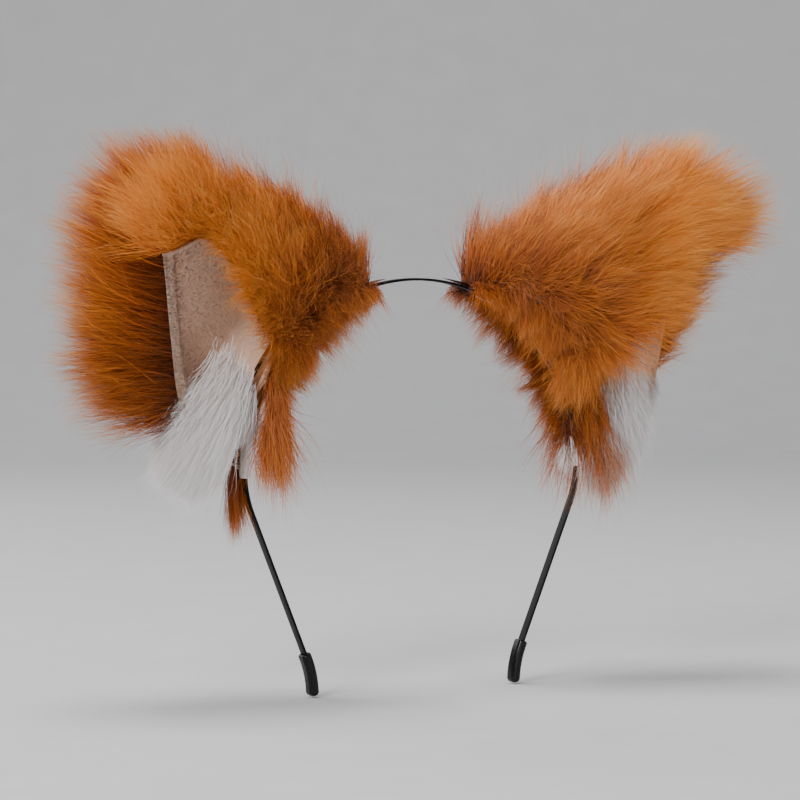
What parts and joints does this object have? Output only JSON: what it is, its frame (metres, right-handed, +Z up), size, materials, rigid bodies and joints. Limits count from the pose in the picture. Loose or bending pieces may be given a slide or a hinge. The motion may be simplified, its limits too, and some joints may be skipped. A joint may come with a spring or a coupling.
{
  "type": "animal ears headband",
  "caption": "Thin black spring hoop that grips the head, with tall long-pile fur fox ears that are lined in pale plush and have a white tuft in each opening.",
  "frame": {"origin": "centre of the hoop's round top, on the hoop's middle plane", "axes": "+Z up through the crown, -Y the way the wearer faces, +X the wearer's left"},
  "size_m": [0.2426, 0.0556, 0.1761],
  "materials": {
    "lacquered_steel": "gloss",
    "cap_plastic": "satin",
    "white_thread": "matte",
    "felt": "matte",
    "orange_fur": "satin",
    "pink_plush": "matte",
    "white_fur": "satin",
    "wire_steel": "satin"
  },
  "bodies": {
    "crown": {"hoop_crown": "lacquered_steel"},
    "left_arm": {"left_hoop_arm": "lacquered_steel", "left_end_cap": "cap_plastic", "left_upper_binding": "white_thread", "left_lower_binding": "white_thread", "left_base_pad": "felt"},
    "left_ear": {"left_ear_fur": "orange_fur", "left_ear_stiffener": "felt", "left_ear_lining": "pink_plush", "left_ear_wire": "wire_steel", "left_white_tuft": "white_fur"},
    "right_arm": {"right_hoop_arm": "lacquered_steel", "right_end_cap": "cap_plastic", "right_upper_binding": "white_thread", "right_lower_binding": "white_thread", "right_base_pad": "felt"},
    "right_ear": {"right_ear_fur": "orange_fur", "right_ear_stiffener": "felt", "right_ear_lining": "pink_plush", "right_ear_wire": "wire_steel", "right_white_tuft": "white_fur"}
  },
  "joints": [
    {"name": "left_arm_flex", "type": "hinge", "parent": "crown", "child": "left_arm", "pos_m": [0.00835, 0, 0.06345], "axis": [0, -1, 0], "range_deg": [-4, 12], "stiffness_Nm_per_rad": 0.4, "springref_deg": 2.86},
    {"name": "left_ear_tilt", "type": "hinge", "parent": "left_arm", "child": "left_ear", "pos_m": [0.04507, 0, 0.0365], "axis": [0.6293, 0, -0.7771], "range_deg": [-12, 12]},
    {"name": "right_arm_flex", "type": "hinge", "parent": "crown", "child": "right_arm", "pos_m": [-0.00835, 0, 0.06345], "axis": [0, 1, 0], "range_deg": [-4, 12], "stiffness_Nm_per_rad": 0.4, "springref_deg": 2.86},
    {"name": "right_ear_tilt", "type": "hinge", "parent": "right_arm", "child": "right_ear", "pos_m": [-0.04507, 0, 0.0365], "axis": [0.6293, 0, 0.7771], "range_deg": [-12, 12]}
  ]
}
